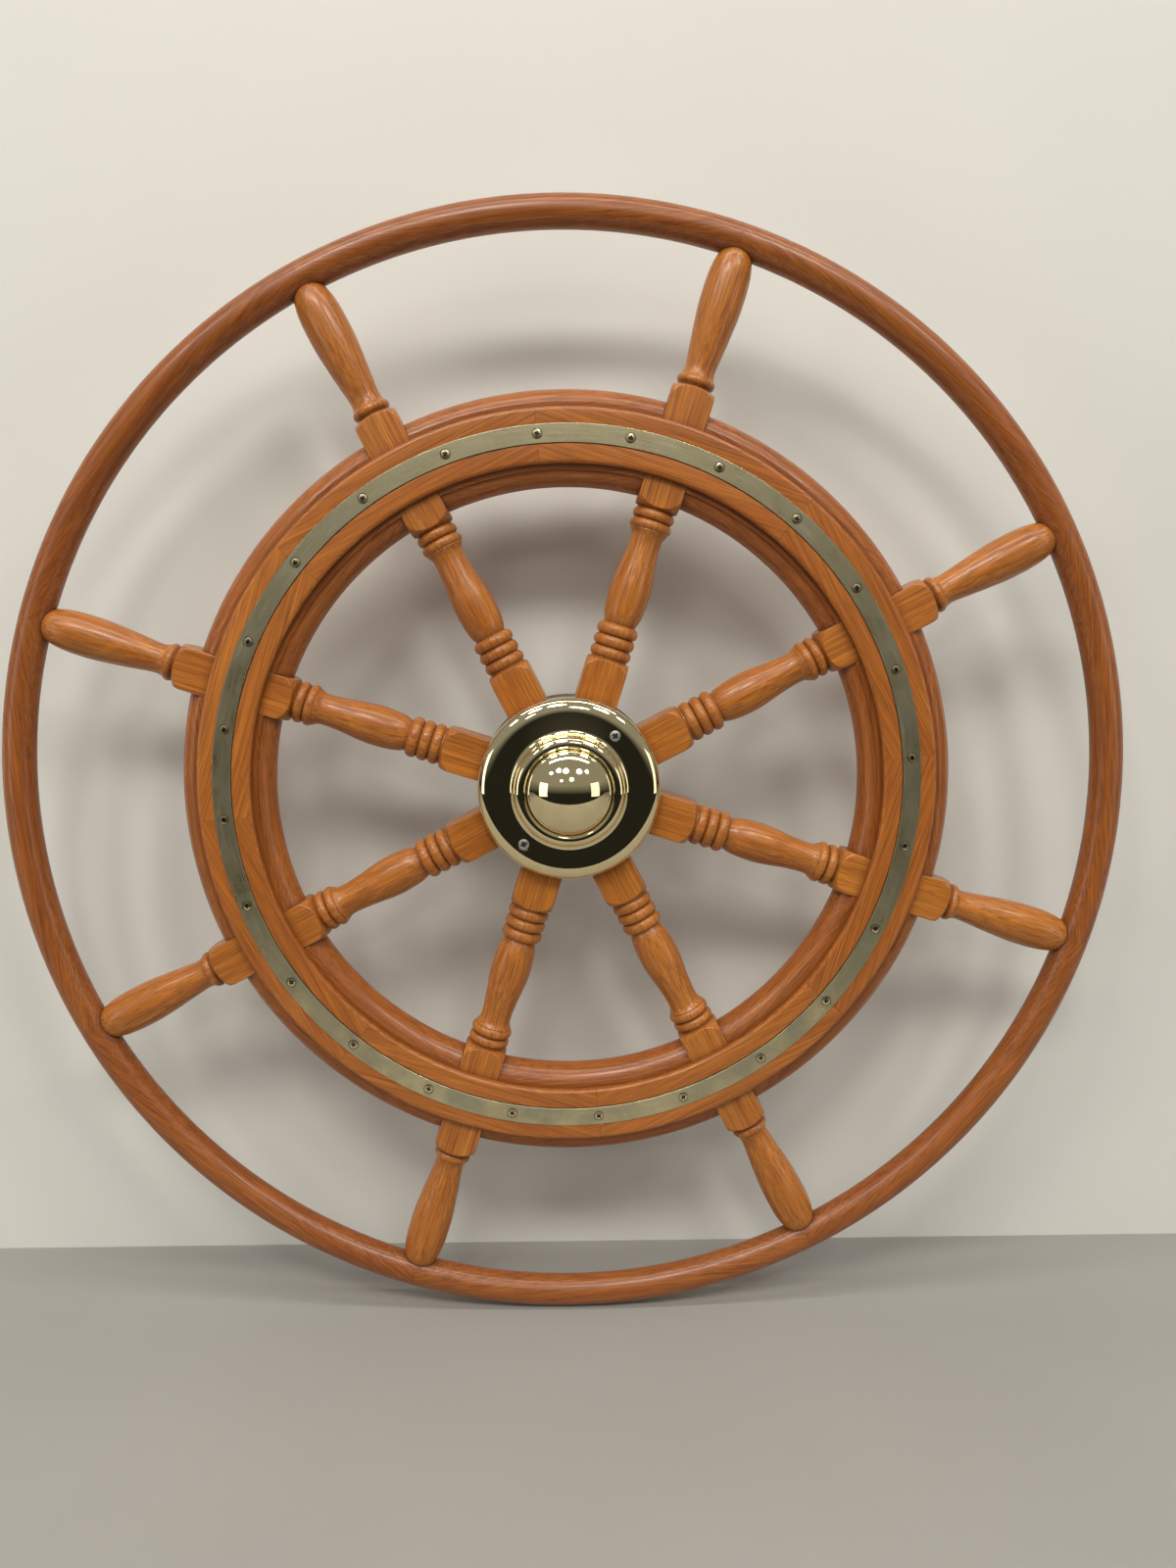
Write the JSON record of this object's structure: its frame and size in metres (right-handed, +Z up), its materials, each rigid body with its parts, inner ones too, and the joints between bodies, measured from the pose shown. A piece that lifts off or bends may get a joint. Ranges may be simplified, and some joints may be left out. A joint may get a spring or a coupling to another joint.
{
  "type": "boat steering wheel",
  "caption": "Wooden yacht steering wheel: turned spokes through a built-up ring with a brass inlay to handles let into a round outer rim, on a polished brass hub with a domed cap.",
  "frame": {"origin": "on the shaft bore's axis, half way through the thickness of the spokes", "axes": "+Y along the shaft bore, from the domed cap at the front to the boss at the back; +Z up; the wheel faces -Y"},
  "size_m": [1.2, 0.1455, 1.2],
  "materials": {
    "rim_wood": "oiled and varnished, satin",
    "spoke_wood": "oiled and varnished, satin",
    "felloe_wood": "oiled and varnished, satin",
    "facing_wood": "oiled and varnished, satin",
    "dowel_wood": "plain",
    "aged_brass": "tarnished, brushed",
    "polished_brass": "mirror polished",
    "cast_metal": "dull grey",
    "screw_steel": "stainless"
  },
  "bodies": {
    "root": {"outer_rim_1": "rim_wood", "outer_rim_2": "rim_wood", "outer_rim_3": "rim_wood", "outer_rim_4": "rim_wood", "outer_rim_5": "rim_wood", "outer_rim_6": "rim_wood", "outer_rim_7": "rim_wood", "outer_rim_8": "rim_wood", "spoke_1": "spoke_wood", "spoke_2": "spoke_wood", "spoke_3": "spoke_wood", "spoke_4": "spoke_wood", "spoke_5": "spoke_wood", "spoke_6": "spoke_wood", "spoke_7": "spoke_wood", "spoke_8": "spoke_wood", "felloe_1": "felloe_wood", "felloe_2": "felloe_wood", "felloe_3": "felloe_wood", "felloe_4": "felloe_wood", "felloe_5": "felloe_wood", "felloe_6": "felloe_wood", "felloe_7": "felloe_wood", "felloe_8": "felloe_wood", "front_facing_1": "facing_wood", "front_facing_2": "facing_wood", "front_facing_3": "facing_wood", "front_facing_4": "facing_wood", "front_facing_5": "facing_wood", "front_facing_6": "facing_wood", "front_facing_7": "facing_wood", "front_facing_8": "facing_wood", "back_facing_1": "facing_wood", "back_facing_2": "facing_wood", "back_facing_3": "facing_wood", "back_facing_4": "facing_wood", "back_facing_5": "facing_wood", "back_facing_6": "facing_wood", "back_facing_7": "facing_wood", "back_facing_8": "facing_wood", "brass_ring": "aged_brass", "ring_screws": "aged_brass", "hub_front_plate": "polished_brass", "hub_cap": "polished_brass", "hub_back_plate": "cast_metal", "plate_screws": "screw_steel", "spoke_screws": "screw_steel", "rim_dowels": "dowel_wood"}
  },
  "joints": []
}
